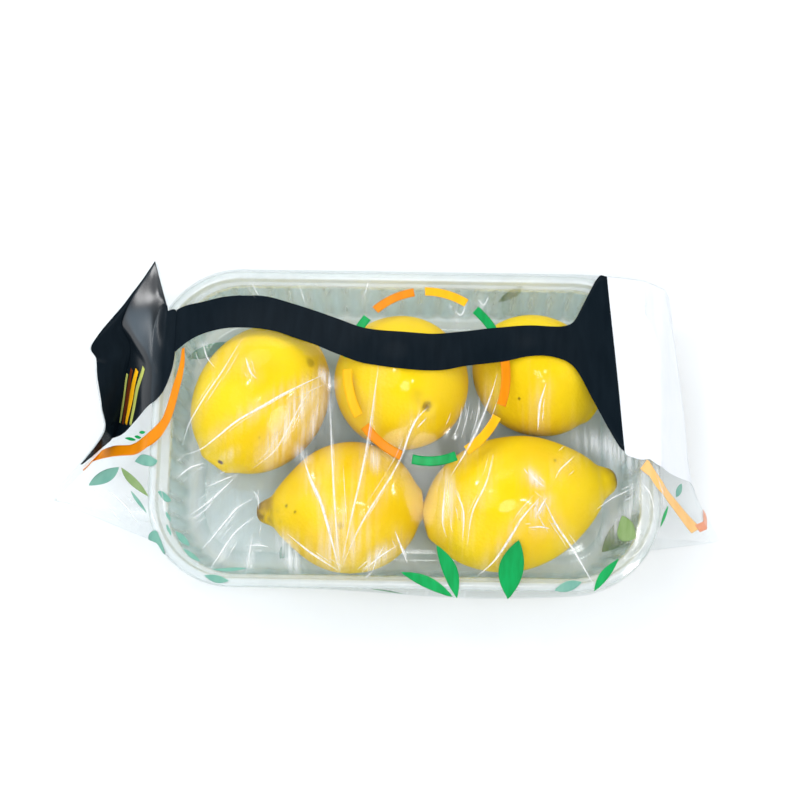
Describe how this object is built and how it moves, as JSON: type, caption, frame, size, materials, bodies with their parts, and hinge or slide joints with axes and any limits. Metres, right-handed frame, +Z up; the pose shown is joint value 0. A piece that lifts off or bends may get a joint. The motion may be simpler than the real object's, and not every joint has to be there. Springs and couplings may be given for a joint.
{
  "type": "film-wrapped tray of lemons",
  "caption": "Clear ribbed plastic tray of lemons, flow-wrapped in clear printed film with flat sealed ends and pointed ears, resting on a flat base.",
  "frame": {"origin": "middle of the tray's straight-sided base, on the surface that the pack rests on", "axes": "+X along the tray towards the end with the white printed panel, +Y towards the back long side, +Z up"},
  "size_m": [0.3175, 0.1505, 0.0722],
  "materials": {
    "film": "thin clear glossy packaging film, creased, with heat-sealed ends",
    "tray": "clear thin thermoformed plastic with a faint grey-green cast, ribbed walls",
    "lemon": "waxy dimpled lemon rind, bright yellow, with small brown marks",
    "black_print": "solid black ink on the glossy film",
    "white_print": "solid white ink on the glossy film",
    "green_print": "solid green ink on the glossy film, paler where the underside shows through",
    "orange_print": "solid orange and amber ink on the glossy film"
  },
  "bodies": {
    "root": {"film_wrapped_lemon_tray": "film"}
  },
  "joints": []
}
